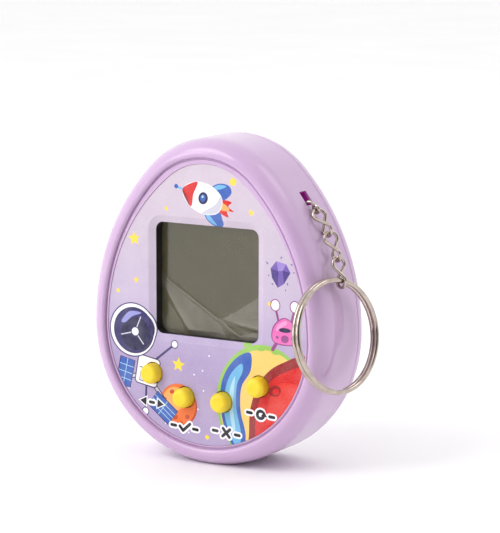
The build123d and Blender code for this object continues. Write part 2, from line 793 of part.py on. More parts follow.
with BuildPart() as keypad_mat:
    with BuildSketch(facing(BOARD_FRONT)):
        with Locations(*BUTTONS.values()):
            Circle(MAT_MARGIN)
        make_hull()
    extrude(amount=BOARD_FRONT - MAT_FACE)
    for x, z in BUTTONS.values():
        with BuildSketch(facing(MAT_FACE)):
            with Locations((x, z)):
                Circle(DOME_BASE_RADIUS)
        with BuildSketch(facing(DOME_TOP)):
            with Locations((x, z)):
                Circle(DOME_CROWN_RADIUS)
        loft()
    with BuildSketch(facing(BOARD_FRONT)):
        with Locations(*BUTTONS.values()):
            Circle(DOME_CROWN_RADIUS - DOME_WALL)
    extrude(amount=BOARD_FRONT - pill_front, mode=Mode.SUBTRACT)

finish(keypad_mat, "keypad_mat")

with BuildPart() as carbon_pills:
    with BuildSketch(facing(pill_back)):
        with Locations(*BUTTONS.values()):
            Circle(PILL_RADIUS)
    extrude(amount=PILL)

finish(carbon_pills, "carbon_pills")

# ---------------------------------------------------------------- batteries and contacts

for name, side in {"left": -1, "right": 1}.items():
    with BuildPart() as cell:
        with BuildSketch(facing(CELL_FLOOR + CONTACT)):
            with Locations((side * CELL_X, CELL_Z)):
                Circle(CELL_RADIUS - CELL_LID_RIM)
        extrude(amount=-CELL_HEIGHT)
        with BuildSketch(facing(CELL_FLOOR + CONTACT + CELL_LID)):
            with Locations((side * CELL_X, CELL_Z)):
                Circle(CELL_RADIUS)
        extrude(amount=-(CELL_HEIGHT - CELL_LID))
        fillet(cell.faces().sort_by(Axis.Y)[-1].edges(), CELL_ROUNDING)
    finish(cell, f"battery_cell_{name}")

tail_low = CELL_Z - TAIL_HALF + TAIL_GAP
tail_high = CELL_Z + TAIL_HALF - TAIL_GAP
pad_low = CELL_Z - PAD_HALF
pad_high = CELL_Z + PAD_HALF

with BuildPart() as positive_contact:
    with BuildSketch(facing(BOARD_BACK)):
        add(box_face(*POSITIVE_TAIL, tail_low, tail_high))
    extrude(amount=BOARD_BACK - CELL_FLOOR - PAD_LIFT)
    with BuildSketch(facing(CELL_FLOOR + PAD_LIFT)):
        add(box_face(*POSITIVE_TAIL, pad_low, pad_high))
    extrude(amount=-TAB_HEIGHT)

finish(positive_contact, "positive_contact")

with BuildPart() as negative_contact:
    with BuildSketch(facing(BOARD_BACK)):
        add(box_face(*NEGATIVE_TAIL, tail_low, tail_high))
    extrude(amount=BOARD_BACK - CELL_FLOOR - CONTACT)
    with BuildSketch(facing(CELL_FLOOR)):
        add(box_face(CELL_X - PAD_HALF, NEGATIVE_TAIL[1], pad_low, pad_high))
    extrude(amount=-CONTACT)

finish(negative_contact, "negative_contact")

# the strip runs along the pocket's lower wall and turns up beside the right-hand cell
strip_low = CELL_Z - POCKET_HALF_HEIGHT + LINK_GAP
strip_high = strip_low + CONTACT

with BuildPart() as link_contact:
    with BuildSketch(facing(CELL_FLOOR)):
        add(box_face(-CELL_X - PAD_HALF, -CELL_X + PAD_HALF, strip_low, pad_high))
        add(box_face(-CELL_X - PAD_HALF, CELL_X + PAD_HALF, strip_low, strip_high))
    extrude(amount=-CONTACT)
    with BuildSketch(facing(CELL_FLOOR)):
        add(box_face(CELL_X - PAD_HALF, CELL_X + PAD_HALF, strip_low, strip_high))
    extrude(amount=-TAB_HEIGHT)

finish(link_contact, "link_contact")

# ---------------------------------------------------------------- buzzer

with BuildPart() as buzzer_plate:
    with BuildSketch(facing(BUZZER_FACE + 2 * BUZZER_SHEET)):
        with Locations((0, BUZZER_Z)):
            Circle(BUZZER_RADIUS)
    extrude(amount=BUZZER_SHEET)

finish(buzzer_plate, "buzzer_plate")

with BuildPart() as buzzer_ceramic:
    with BuildSketch(facing(BUZZER_FACE + BUZZER_SHEET)):
        with Locations((0, BUZZER_Z)):
            Circle(CERAMIC_RADIUS)
    extrude(amount=BUZZER_SHEET)

finish(buzzer_ceramic, "buzzer_ceramic")

# where each lead meets the buzzer: x, z and depth
LEAD_ENDS = {
    "red": (3.0, 14.5, BUZZER_FACE),
    "black": (-4.0, 19.4, BUZZER_FACE + BUZZER_SHEET),
}
for name, (x, z, depth) in LEAD_ENDS.items():
    with BuildPart() as wire:
        with BuildLine():
            lead = FilletPolyline(
                (x, BOARD_BACK, z + LEAD_STEP),
                (x, BOARD_BACK + LEAD_RUN, z + LEAD_STEP),
                (x, depth - LEAD_RUN, z),
                (x, depth, z),
                radius=LEAD_BEND,
            )
        with BuildSketch(Plane(origin=lead @ 0, z_dir=lead % 0)):
            Circle(LEAD_RADIUS)
        sweep(path=lead)
    finish(wire, f"buzzer_wire_{name}")

# ---------------------------------------------------------------- chain and split ring

with BuildPart() as chain_pin:
    with BuildSketch(pin_plane.offset(-PIN_LENGTH / 2)):
        Circle(PIN_RADIUS)
    extrude(amount=PIN_LENGTH)

finish(chain_pin, "chain_pin")


def turned_across(yaw, along):
    """The direction at this yaw from +X, squared up to a direction that it has to stand across."""
    level = Vector(cos(radians(yaw)), sin(radians(yaw)), 0)
    return (level - along * level.dot(along)).normalized()


# the hook's side view: drawing x runs down the wall, drawing y out of it
hook_slide = Vector(0, HOOK_SHIFT, 0)
hook_side = Plane(
    origin=slot_plane.origin + hook_slide, x_dir=slot_plane.x_dir, z_dir=-slot_plane.y_dir
)
pin_eye = Plane(origin=pin_middle + hook_slide, z_dir=hook_side.z_dir)
link_eye = Plane(
    origin=hook_side.from_local_coords((HOOK_DROP, HOOK_REACH, 0)),
    z_dir=turned_across(LINK_YAWS[0], slot_plane.x_dir),
)
with BuildPart() as chain_hook:
    with BuildLine(hook_side) as stem:
        Line((UPPER_EYE, -PIN_DEPTH), (UPPER_EYE, HOOK_REACH - HOOK_BEND))
        RadiusArc(
            (UPPER_EYE, HOOK_REACH - HOOK_BEND), (UPPER_EYE + HOOK_BEND, HOOK_REACH), HOOK_BEND
        )
        Line((UPPER_EYE + HOOK_BEND, HOOK_REACH), (HOOK_DROP - LOWER_EYE, HOOK_REACH))
    with BuildSketch(Plane(origin=stem.line @ 0, z_dir=stem.line % 0)):
        Circle(WIRE)
    sweep(path=stem.wires()[0])
    with Locations(pin_eye):
        Torus(UPPER_EYE, WIRE)
    with Locations(link_eye):
        Torus(LOWER_EYE, WIRE)

finish(chain_hook, "chain_hook")

link_half = LINK_STRAIGHT / 2
link_reach = link_half + LINK_RADIUS  # from a link's middle to the wire at either end

with BuildPart() as twisted_link:
    # a long link twisted a quarter turn, so that each end stands across the next one
    with BuildLine() as loop:
        ThreePointArc(
            (-LINK_RADIUS, 0, link_half),
            (0, 0, link_reach),
            (LINK_RADIUS, 0, link_half),
        )
        Spline(
            (LINK_RADIUS, 0, link_half),
            (0, LINK_RADIUS, -link_half),
            tangents=((0, 0, -1), (0, 0, -1)),
            tangent_scalars=(LINK_TWIST, LINK_TWIST),
        )
        ThreePointArc(
            (0, LINK_RADIUS, -link_half),
            (0, 0, -link_reach),
            (0, -LINK_RADIUS, -link_half),
        )
        Spline(
            (0, -LINK_RADIUS, -link_half),
            (-LINK_RADIUS, 0, link_half),
            tangents=((0, 0, 1), (0, 0, 1)),
            tangent_scalars=(LINK_TWIST, LINK_TWIST),
        )
    for stretch in loop.edges():
        with BuildSketch(Plane(origin=stretch @ 0, z_dir=stretch % 0)):
            Circle(WIRE)
        sweep(path=stretch)

LINKS = []  # each link's plane: z runs up the chain, x across its upper bend
held_by = link_eye.origin
top_offset = LOWER_EYE - 2 * WIRE - WIRE_GAP
for number, (outwards, rearwards) in enumerate(LINK_SLOPES, 1):
    down = Vector(outwards, rearwards, -1).normalized()
    middle = held_by + down * (top_offset + link_reach)
    link_plane = Plane(
        origin=middle, x_dir=turned_across(LINK_YAWS[number - 1], down), z_dir=-down
    )
    with BuildPart() as chain_link:
        with Locations(link_plane):
            add(twisted_link.part)
    finish(chain_link, f"chain_link_{number}")
    LINKS.append(link_plane)
    held_by = middle + down * link_reach
    top_offset = -2 * WIRE - WIRE_GAP

ring_top = middle + down * (link_half + RING_REST)
hang = Vector(*RING_HANG).normalized()
ring_centre = ring_top + hang * RING_RADIUS
ring_plane = Plane(
    origin=ring_centre, x_dir=hang, z_dir=turned_across(RING_YAW, hang).cross(hang)
)
coil = ring_plane * Helix(
    pitch=RING_PITCH,
    height=RING_PITCH * RING_TURNS,
    radius=RING_RADIUS,
    center=(0, 0, -RING_PITCH * RING_TURNS / 2),
)
with BuildPart() as split_ring:
    with BuildSketch(Plane(origin=coil @ 0, z_dir=coil % 0)):
        Circle(RING_WIRE)
    sweep(path=coil, is_frenet=True)

finish(split_ring, "split_ring")
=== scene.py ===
"""Looks for the virtual pet keychain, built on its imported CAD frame.

Everything is in metres in the frame's own axes: +Z up, the face looks towards -Y. The label's
artwork is drawn in millimetres, x across and z up.
"""

import json
from math import atan2, cos, hypot, pi, radians, sin

import bpy
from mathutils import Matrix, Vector
from mathutils.geometry import delaunay_2d_cdt


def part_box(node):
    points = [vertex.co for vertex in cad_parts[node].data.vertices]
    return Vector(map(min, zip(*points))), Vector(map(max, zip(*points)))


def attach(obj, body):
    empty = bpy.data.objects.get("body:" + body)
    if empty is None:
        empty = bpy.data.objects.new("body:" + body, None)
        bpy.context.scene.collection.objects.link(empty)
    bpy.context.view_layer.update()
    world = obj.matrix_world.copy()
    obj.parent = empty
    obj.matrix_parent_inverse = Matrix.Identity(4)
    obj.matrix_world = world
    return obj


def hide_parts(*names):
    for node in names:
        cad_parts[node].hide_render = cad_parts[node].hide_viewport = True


MM = 0.001

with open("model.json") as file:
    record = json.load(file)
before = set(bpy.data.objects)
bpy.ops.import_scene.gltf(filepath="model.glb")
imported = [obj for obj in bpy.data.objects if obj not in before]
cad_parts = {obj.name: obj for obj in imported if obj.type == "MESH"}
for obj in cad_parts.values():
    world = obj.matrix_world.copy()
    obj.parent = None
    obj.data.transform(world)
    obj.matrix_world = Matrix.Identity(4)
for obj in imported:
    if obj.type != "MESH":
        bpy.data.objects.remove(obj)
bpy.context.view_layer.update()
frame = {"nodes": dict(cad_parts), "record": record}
scene = bpy.context.scene

# ---------------------------------------------------------------- camera

CAMERA_AZIMUTH = 31.1  # towards +X from -Y
CAMERA_HEIGHT = 10.1  # degrees over the horizon
CAMERA_DISTANCE = 0.481
CAMERA_LENS = 176.5
CAMERA_SHIFT = (0.043, 0.058)

case_low, case_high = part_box("front_shell")
target = Vector((0, 0, (case_low.z + case_high.z) / 2))


def direction(azimuth, height):
    """The unit vector from the object towards this azimuth and height, in degrees."""
    level = cos(radians(height))
    return Vector((sin(radians(azimuth)) * level, -cos(radians(azimuth)) * level, sin(radians(height))))


towards = direction(CAMERA_AZIMUTH, CAMERA_HEIGHT)
camera_data = bpy.data.cameras.new("camera")
camera_data.lens = CAMERA_LENS
camera_data.shift_x, camera_data.shift_y = CAMERA_SHIFT
camera_data.clip_start = 0.01
camera = bpy.data.objects.new("camera", camera_data)
camera.location = target + towards * CAMERA_DISTANCE
camera.rotation_euler = (-towards).to_track_quat("-Z", "Y").to_euler()
scene.collection.objects.link(camera)
scene.camera = camera

# ---------------------------------------------------------------- light

scene.view_settings.view_transform = "Standard"

# name: azimuth, height, distance, diameter, power
LIGHTS = {
    "key": (-35, 42, 0.7, 0.45, 1.75),
    "front": (-38, 13, 0.8, 0.22, 0.5),
    "rim": (120, 55, 0.7, 0.3, 0.35),
}
for name, (azimuth, height, distance, size, power) in LIGHTS.items():
    data = bpy.data.lights.new(name, "AREA")
    data.shape = "DISK"
    data.size = size
    data.energy = power
    lamp = bpy.data.objects.new(name, data)
    lamp.location = target + direction(azimuth, height) * distance
    lamp.rotation_euler = direction(azimuth, height).to_track_quat("Z", "Y").to_euler()
    scene.collection.objects.link(lamp)

world = bpy.data.worlds.new("world")
scene.world = world
world.use_nodes = True
world.node_tree.nodes["Background"].inputs["Strength"].default_value = 1.06

# a white room, with a dim patch in front of the object for bright metal to mirror
DIM = (50, 8)  # azimuth and height
DIM_LEVEL = 0.12
spot = world.node_tree.nodes.new("ShaderNodeVectorMath")
spot.operation = "DOT_PRODUCT"
spot.inputs[1].default_value = direction(*DIM)
ray = world.node_tree.nodes.new("ShaderNodeTexCoord")
world.node_tree.links.new(ray.outputs["Generated"], spot.inputs[0])
fade = world.node_tree.nodes.new("ShaderNodeMapRange")
world.node_tree.links.new(spot.outputs["Value"], fade.inputs["Value"])
for socket, value in zip(("From Min", "From Max", "To Min", "To Max"), (0.7, 0.82, 1, DIM_LEVEL)):
    fade.inputs[socket].default_value = value
world.node_tree.links.new(fade.outputs["Result"], world.node_tree.nodes["Background"].inputs["Color"])

# ---------------------------------------------------------------- materials


def linear(red, green, blue):
    """A colour given as it looks on screen, 0 to 255, in the renderer's own scale."""
    shares = (value / 255 for value in (red, green, blue))
    return (*(s / 12.92 if s < 0.04045 else ((s + 0.055) / 1.055) ** 2.4 for s in shares), 1)


class Nodes:
    """Short names for the few kinds of node that the materials are made from."""

    def __init__(self, name):
        self.material = bpy.data.materials.new(name)
        self.material.use_nodes = True
        self.tree = self.material.node_tree
        self.shader = self.tree.nodes["Principled BSDF"]
        self.place = self.tree.nodes.new("ShaderNodeTexCoord").outputs["Object"]

    def join(self, source, socket):
        if isinstance(source, bpy.types.NodeSocket):
            self.tree.links.new(source, socket)
        else:
            socket.default_value = source

    def noise(self, size, detail=2.0):
        """Soft noise with features about this many metres across."""
        node = self.tree.nodes.new("ShaderNodeTexNoise")
        self.join(self.place, node.inputs["Vector"])
        node.inputs["Scale"].default_value = 1 / size
        node.inputs["Detail"].default_value = detail
        return node.outputs["Fac"]

    def cells(self, size, feature="F1"):
        node = self.tree.nodes.new("ShaderNodeTexVoronoi")
        self.join(self.place, node.inputs["Vector"])
        node.feature = feature
        node.inputs["Scale"].default_value = 1 / size
        return node.outputs["Distance"]

    def span(self, source, low, high, to_low=0.0, to_high=1.0):
        """The source's stretch from low to high, spread from to_low to to_high."""
        node = self.tree.nodes.new("ShaderNodeMapRange")
        self.join(source, node.inputs["Value"])
        for socket, value in zip(("From Min", "From Max", "To Min", "To Max"), (low, high, to_low, to_high)):
            node.inputs[socket].default_value = value
        return node.outputs["Result"]

    def mix(self, share, first, second):
        node = self.tree.nodes.new("ShaderNodeMix")
        node.data_type = "RGBA"
        self.join(share, node.inputs[0])
        self.join(first, node.inputs[6])
        self.join(second, node.inputs[7])
        return node.outputs[2]

    def math(self, operation, first, second):
        node = self.tree.nodes.new("ShaderNodeMath")
        node.operation = operation
        self.join(first, node.inputs[0])
        self.join(second, node.inputs[1])
        return node.outputs[0]

    def vector(self, operation, first, second):
        node = self.tree.nodes.new("ShaderNodeVectorMath")
        node.operation = operation
        self.join(first, node.inputs[0])
        self.join(second, node.inputs[1])
        return node.outputs["Vector" if operation == "SUBTRACT" else "Value"]

    def axis(self, name):
        node = self.tree.nodes.new("ShaderNodeSeparateXYZ")
        self.join(self.place, node.inputs[0])
        return node.outputs[name]

    def bump(self, height, depth, strength=1.0):
        """A relief of this depth in metres."""
        node = self.tree.nodes.new("ShaderNodeBump")
        self.join(height, node.inputs["Height"])
        node.inputs["Distance"].default_value = depth
        node.inputs["Strength"].default_value = strength
        self.join(node.outputs["Normal"], self.shader.inputs["Normal"])

    def set(self, **values):
        for name, value in values.items():
            self.join(value, self.shader.inputs[name.replace("_", " ")])


def plastic(name, colour, shade, rough=(0.24, 0.36), mottle=6.0, skin=0.5, relief=0.004, coat=0.3):
    """Moulded plastic: a slow change of colour, a smudged gloss and a faint uneven skin. Sizes in mm."""
    m = Nodes(name)
    m.set(
        Base_Color=m.mix(m.span(m.noise(mottle * MM), 0.35, 0.65), shade, colour),
        Roughness=m.span(m.noise(2.5 * MM, 5), 0.3, 0.7, *rough),
        Coat_Weight=coat,
        Coat_Roughness=0.12,
    )
    m.bump(m.noise(skin * MM, 3), relief * MM)
    return m.material


def metal(name, colour, shade, rough=(0.14, 0.32), grain=0.25, relief=0.004):
    """Plated or bare metal: tarnish in soft patches, and fine scratches that change its gloss."""
    m = Nodes(name)
    m.set(
        Base_Color=m.mix(m.span(m.noise(1.5 * MM, 4), 0.35, 0.7), colour, shade),
        Metallic=1.0,
        Roughness=m.span(m.noise(grain * MM, 4), 0.3, 0.7, *rough),
    )
    m.bump(m.noise(grain * MM, 6), relief * MM)
    return m.material


OUT_OF_SLOT = (0.86, 0, 0.51)  # the way that the wall faces where the chain slot is


def case_plastic():
    """Glossy lilac plastic, a little smudged. Around the chain slot the colour is painted a deep magenta: a painted
    glow and shade for light that soaks into the slot.
    """
    m = Nodes("case_plastic")
    tint = m.mix(m.span(m.noise(14 * MM), 0.3, 0.7), linear(200, 167, 206), linear(204, 173, 209))
    pin_low, pin_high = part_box("chain_pin")
    pin = (pin_low + pin_high) / 2
    # painted glow and shade: the slot's walls near the chain pin turn deep magenta
    slot_glow_near = m.span(m.vector("DISTANCE", m.place, pin), 2.4 * MM, 2.75 * MM, 1, 0)
    outwards = m.vector("DOT_PRODUCT", m.vector("SUBTRACT", m.place, pin), OUT_OF_SLOT)
    slot_glow_within = m.span(outwards, 1.4 * MM, 1.9 * MM, 1, 0)
    tint = m.mix(m.math("MULTIPLY", slot_glow_near, slot_glow_within), tint, linear(214, 60, 196))
    m.set(
        Base_Color=tint,
        Roughness=m.span(m.noise(4 * MM, 4), 0.3, 0.7, 0.2, 0.27),
        Subsurface_Weight=0.1,
        Subsurface_Radius=(1.0, 0.6, 0.9),
        Subsurface_Scale=1.2 * MM,
        Coat_Weight=0.45,
        Coat_Roughness=0.06,
    )
    m.bump(m.noise(1.6 * MM, 2), 0.002 * MM)
    return m.material


def film(name, haze_and_highlight):
    """Clear film: what is behind shows through, it mirrors more at a slant, and a pale diffuse share gives it a faint
    haze that on the folds is a painted highlight.
    """
    m = Nodes(name)
    tree = m.tree
    clear = tree.nodes.new("ShaderNodeBsdfTransparent")
    clear.inputs["Color"].default_value = (0.97, 0.97, 0.95, 1)
    gloss = tree.nodes.new("ShaderNodeBsdfGlossy")
    m.join(m.span(m.noise(4 * MM, 2), 0.3, 0.7, 0.1, 0.2), gloss.inputs["Roughness"])
    slant = tree.nodes.new("ShaderNodeFresnel")
    slant.inputs["IOR"].default_value = 1.5
    # a pale diffuse share: a faint haze on the flat film, and a painted highlight on the folds
    pale_diffuse = tree.nodes.new("ShaderNodeBsdfDiffuse")
    pale_diffuse.inputs["Color"].default_value = linear(214, 208, 200)
    sheet = tree.nodes.new("ShaderNodeMixShader")
    m.join(m.span(m.noise(3 * MM, 2), 0.3, 0.7, haze_and_highlight * 0.6, haze_and_highlight), sheet.inputs[0])
    m.join(clear.outputs[0], sheet.inputs[1])
    m.join(pale_diffuse.outputs[0], sheet.inputs[2])
    both = tree.nodes.new("ShaderNodeMixShader")
    m.join(slant.outputs[0], both.inputs[0])
    m.join(sheet.outputs[0], both.inputs[1])
    m.join(gloss.outputs[0], both.inputs[2])
    m.join(both.outputs[0], tree.nodes["Material Output"].inputs["Surface"])
    return m.material


def polariser():
    """The LCD's olive-grey face, with a painted shade that darkens its upper left, and faint smears."""
    m = Nodes("polariser")
    low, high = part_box("lcd_front_polariser")
    across = m.span(m.axis("X"), low.x, high.x)
    up = m.span(m.axis("Z"), low.z, high.z)
    # painted shade: the face darkens towards its upper left
    fade = m.math("MULTIPLY", up, m.math("SUBTRACT", 1.2, across))
    tone = m.mix(fade, linear(121, 114, 80), linear(108, 101, 72))
    m.set(
        Base_Color=m.mix(m.span(m.noise(5 * MM, 3), 0.4, 0.75, 0, 0.3), tone, linear(134, 126, 99)),
        Roughness=m.span(m.noise(1.4 * MM, 5), 0.3, 0.7, 0.3, 0.42),
        Coat_Weight=0.2,
        Coat_Roughness=0.15,
    )
    m.bump(m.noise(3 * MM, 2), 0.002 * MM)
    return m.material


def board():
    """Green laminate, with its copper tracks showing paler through the mask."""
    m = Nodes("board")
    tracks = m.span(m.cells(1.6 * MM, "DISTANCE_TO_EDGE"), 0.06, 0.1, 1, 0)
    m.set(
        Base_Color=m.mix(tracks, linear(18, 84, 46), linear(48, 128, 76)),
        Roughness=m.span(m.noise(1 * MM, 4), 0.3, 0.7, 0.3, 0.45),
        Coat_Weight=0.3,
    )
    m.bump(tracks, 0.02 * MM)
    return m.material


def button_plastic():
    m = Nodes("button_plastic")
    tone = m.mix(m.span(m.noise(2 * MM, 3), 0.35, 0.65), linear(240, 208, 28), linear(246, 217, 44))
    specks = m.span(m.noise(0.07 * MM, 1), 0.62, 0.7, 0, 0.25)
    m.set(
        Base_Color=m.mix(specks, tone, linear(250, 230, 110)),
        Roughness=m.span(m.noise(0.5 * MM, 4), 0.3, 0.7, 0.36, 0.5),
        Subsurface_Weight=0.15,
        Subsurface_Radius=(1.0, 0.8, 0.3),
        Subsurface_Scale=0.8 * MM,
    )
    m.bump(m.noise(0.1 * MM, 3), 0.006 * MM)
    return m.material


MATERIALS = {
    "case_plastic": case_plastic(),
    "black_plastic": plastic("black_plastic", linear(26, 26, 28), linear(16, 16, 18), (0.35, 0.5)),
    "clear_film": film("clear_film", 0.01),
    "lcd_glass": plastic("lcd_glass", linear(150, 156, 146), linear(138, 146, 136), (0.06, 0.14), 8, 2, 0.001),
    "polariser": polariser(),
    "reflector": plastic("reflector", linear(128, 124, 106), linear(116, 112, 95), (0.35, 0.5), 4, 0.1),
    "elastomer": plastic("elastomer", linear(70, 100, 130), linear(28, 28, 30), (0.5, 0.7), 0.3),
    "board": board(),
    "epoxy": plastic("epoxy", linear(24, 24, 25), linear(12, 12, 13), (0.15, 0.3), 2, 1.2, 0.05),
    "component": plastic("component", linear(150, 130, 108), linear(110, 96, 80), (0.4, 0.6), 1),
    "screw_steel": metal("screw_steel", linear(178, 180, 184), linear(138, 140, 146)),
    "button_plastic": button_plastic(),
    "keypad_rubber": plastic("keypad_rubber", linear(206, 204, 198), linear(190, 188, 182), (0.5, 0.7), 4),
    "carbon": plastic("carbon", linear(34, 34, 35), linear(20, 20, 20), (0.6, 0.8), 0.4, 0.1, 0.01, 0),
    "cell_steel": metal("cell_steel", linear(206, 206, 202), linear(194, 194, 189), (0.2, 0.34)),
    "contact_steel": metal("contact_steel", linear(210, 206, 196), linear(182, 176, 164), (0.18, 0.34)),
    "buzzer_brass": metal("buzzer_brass", linear(214, 178, 104), linear(184, 144, 76), (0.22, 0.4)),
    "buzzer_ceramic": plastic("buzzer_ceramic", linear(230, 228, 220), linear(210, 206, 196), (0.3, 0.5), 2),
    "wire_red": plastic("wire_red", linear(196, 34, 30), linear(170, 22, 20), (0.35, 0.5), 1),
    "wire_black": plastic("wire_black", linear(30, 30, 31), linear(20, 20, 21), (0.35, 0.5), 1),
    "chain_nickel": metal("chain_nickel", linear(196, 184, 174), linear(178, 164, 154), (0.03, 0.07), 3, 0.0003),
}
for part in frame["record"]["subparts"]:
    if part["material_slot"] in MATERIALS:
        shown = frame["nodes"][part["node"]]
        shown.data.materials.clear()
        shown.data.materials.append(MATERIALS[part["material_slot"]])

# ---------------------------------------------------------------- outlines in the label's plane, in mm


def oval(x, z, wide, high=None, turn=0.0, count=32):
    """An ellipse with these half-widths, turned anticlockwise by degrees."""
    high = high or wide
    angles = [2 * pi * k / count for k in range(count)]
    return placed([(wide * cos(a), high * sin(a)) for a in angles], x, z, turn)


def placed(points, x, z, turn=0.0):
    """A drawing turned anticlockwise by degrees and moved to x, z."""
    c, s = cos(radians(turn)), sin(radians(turn))
    return [(x + c * u - s * v, z + s * u + c * v) for u, v in points]


def smooth(points, steps=6):
    """A closed curve through the points."""
    curve = []
    for k in range(len(points)):
        a, b, c, d = (Vector(points[(k + j - 1) % len(points)]) for j in range(4))
        for step in range(steps):
            t = step / steps
            bend = (2 * b) + (c - a) * t + (2 * a - 5 * b + 4 * c - d) * t**2 + (3 * b - a - 3 * c + d) * t**3
            curve.append(tuple(bend / 2))
    return curve


def area(points):
    """Twice the outline's area, above 0 if it runs anticlockwise."""
    return sum(a[0] * b[1] - b[0] * a[1] for a, b in zip(points, points[1:] + points[:1]))


def grown(points, by):
    """The outline moved outwards."""
    points = points if area(points) > 0 else points[::-1]
    out = []
    for k, (x, z) in enumerate(points):
        before, after = points[k - 1], points[(k + 1) % len(points)]
        run = Vector((after[0] - before[0], after[1] - before[1])).normalized()
        out.append((x + by * run.y, z - by * run.x))
    return out


def star(x, z, radius, turn=0.0):
    corners = [radius if k % 2 else radius * 0.45 for k in range(10)]
    return placed([(r * sin(pi * (k + 1) / 5), r * cos(pi * (k + 1) / 5)) for k, r in enumerate(corners)], x, z, turn)


def stroke(points, width):
    """The outlines that make a line of this width with round ends."""
    shapes = [oval(x, z, width / 2, count=16) for x, z in points]
    for (x0, z0), (x1, z1) in zip(points, points[1:]):
        reach = hypot(x1 - x0, z1 - z0) / 2
        turn = atan2(z1 - z0, x1 - x0) * 180 / pi
        half = width / 2
        bar = [(-reach, -half), (reach, -half), (reach, half), (-reach, half)]
        shapes.append(placed(bar, (x0 + x1) / 2, (z0 + z1) / 2, turn))
    return shapes


def rounded_box(low_x, high_x, low_z, high_z, radius, count=8):
    corners = ((high_x, high_z, 0), (low_x, high_z, 90), (low_x, low_z, 180), (high_x, low_z, 270))
    outline = []
    for x, z, start in corners:
        centre_x = x - radius if x == high_x else x + radius
        centre_z = z - radius if z == high_z else z + radius
        for k in range(count + 1):
            a = radians(start + 90 * k / count)
            outline.append((centre_x + radius * cos(a), centre_z + radius * sin(a)))
    return outline


def egg(half_width, base, crown, crown_radius, step=3.0):
    """The label's outline: a round bottom, two long side arcs and a round crown, as in the CAD."""
    middle = base + half_width
    rise = crown - crown_radius - middle
    side = (half_width**2 + rise**2 - crown_radius**2) / (2 * (half_width - crown_radius))
    lean = atan2(rise, side - half_width) * 180 / pi
    arcs = (
        (0, middle, half_width, 180, 360, step),
        (half_width - side, middle, side, 0, lean, step / 3),
        (0, crown - crown_radius, crown_radius, lean, 180 - lean, step),
        (side - half_width, middle, side, 180 - lean, 180, step / 3),
    )
    outline = []
    for x, z, radius, start, end, length in arcs:
        count = round((end - start) / length)
        for k in range(count):
            a = radians(start + (end - start) * k / count)
            outline.append((x + radius * cos(a), z + radius * sin(a)))
    return outline


# ---------------------------------------------------------------- the label's artwork

INKS = {
    "white": (246, 244, 250),
    "grey": (206, 204, 218),
    "black": (22, 19, 26),
    "navy": (58, 50, 104),
    "night": (38, 33, 74),
    "periwinkle": (150, 150, 214),
    "blue": (52, 94, 180),
    "sky": (112, 182, 226),
    "ice": (176, 220, 240),
    "red": (214, 22, 16),
    "maroon": (150, 16, 18),
    "scarlet": (226, 46, 30),
    "orange": (236, 112, 36),
    "apricot": (248, 172, 92),
    "rust": (196, 68, 22),
    "yellow": (250, 218, 58),
    "sand": (248, 206, 112),
    "green": (150, 196, 86),
    "pink": (232, 108, 182),
    "rose": (246, 158, 208),
    "plum": (150, 62, 134),
    "violet": (112, 84, 172),
    "indigo": (72, 52, 130),
    "lavender": (156, 132, 208),
}
DARK_INKS = ("black", "navy", "night", "indigo")
layers = []  # (ink, outline), each drawn over those before it


def paint(ink, *outlines):
    layers.extend((ink, outline) for outline in outlines)


def lined(ink, outline, line="navy", width=0.22):
    """A shape with a line round it."""
    paint(line, grown(outline, width))
    paint(ink, outline)


def big_planet():
    globe = oval(12.3, 12.4, 9.9, 11.2, count=60)
    paint("green", globe)
    paint("sand", oval(12.6, 11.9, 9.5, 10.8, count=60))
    for drop in (0, 1, 2):
        paint("green", oval(8.6 + 3.1 * drop, 23.2 - 0.35 * drop, 0.9, 0.45))
    lake = smooth([(9.5, 21.9), (6.2, 20.3), (3.6, 16.2), (3.3, 11.0), (4.6, 6.2), (7.6, 2.6), (8.6, 6.4), (7.5, 11), (7.7, 15.4), (9.6, 18.6)])
    paint("blue", lake)
    paint("sky", smooth([(7.6, 19.7), (5.2, 17.2), (4.0, 13.0), (4.4, 8.6), (6.8, 3.8), (7.6, 6.6), (6.6, 11.4), (6.7, 15.6), (7.9, 18.2)]))
    paint("ice", smooth([(6.3, 17.2), (5.2, 14.6), (5.1, 11.0), (5.9, 7.0), (6.4, 7.4), (5.9, 11.4), (6.1, 14.8)]))
    paint("maroon", smooth([(22, 22), (16.0, 20.6), (12.0, 17.4), (9.8, 12.6), (9.3, 7.4), (9.8, 2.2), (17, 1.5), (23, 12)]))
    paint("red", smooth([(22, 20), (16.4, 18.9), (12.9, 16.0), (11.0, 11.8), (10.6, 7.2), (11.2, 3.4), (17, 2.5), (23, 11)]))
    paint("scarlet", smooth([(19.5, 16.8), (15.6, 16.8), (13.4, 13.2), (12.9, 9.0), (15.4, 10.8), (18.6, 14.2)]))
    for x, z, wide, high in ((14.7, 15.4, 1.25, 1.0), (13.6, 7.2, 0.8, 0.95), (17.3, 10.8, 0.9, 0.75), (11.9, 11.0, 0.5, 0.7)):
        paint("maroon", oval(x, z, wide, high, 20))
        paint("red", oval(x + 0.15, z - 0.12, wide * 0.62, high * 0.6, 20))


def small_planet():
    paint("rust", oval(-5.8, 10.5, 4.05))
    paint("orange", oval(-5.9, 10.65, 3.85))
    paint("apricot", oval(-6.7, 11.6, 2.5, 2.2, 30))
    craters = ((-8.3, 9.6, 0.55), (-6.5, 8.2, 0.6), (-3.9, 8.5, 0.5), (-3.2, 10.9, 0.45), (-7.2, 12.9, 0.5), (-5.2, 7.3, 0.3), (-8.7, 11.4, 0.35))
    for x, z, radius in craters:
        paint("rust", oval(x, z, radius, radius * 0.8, 25, 20))


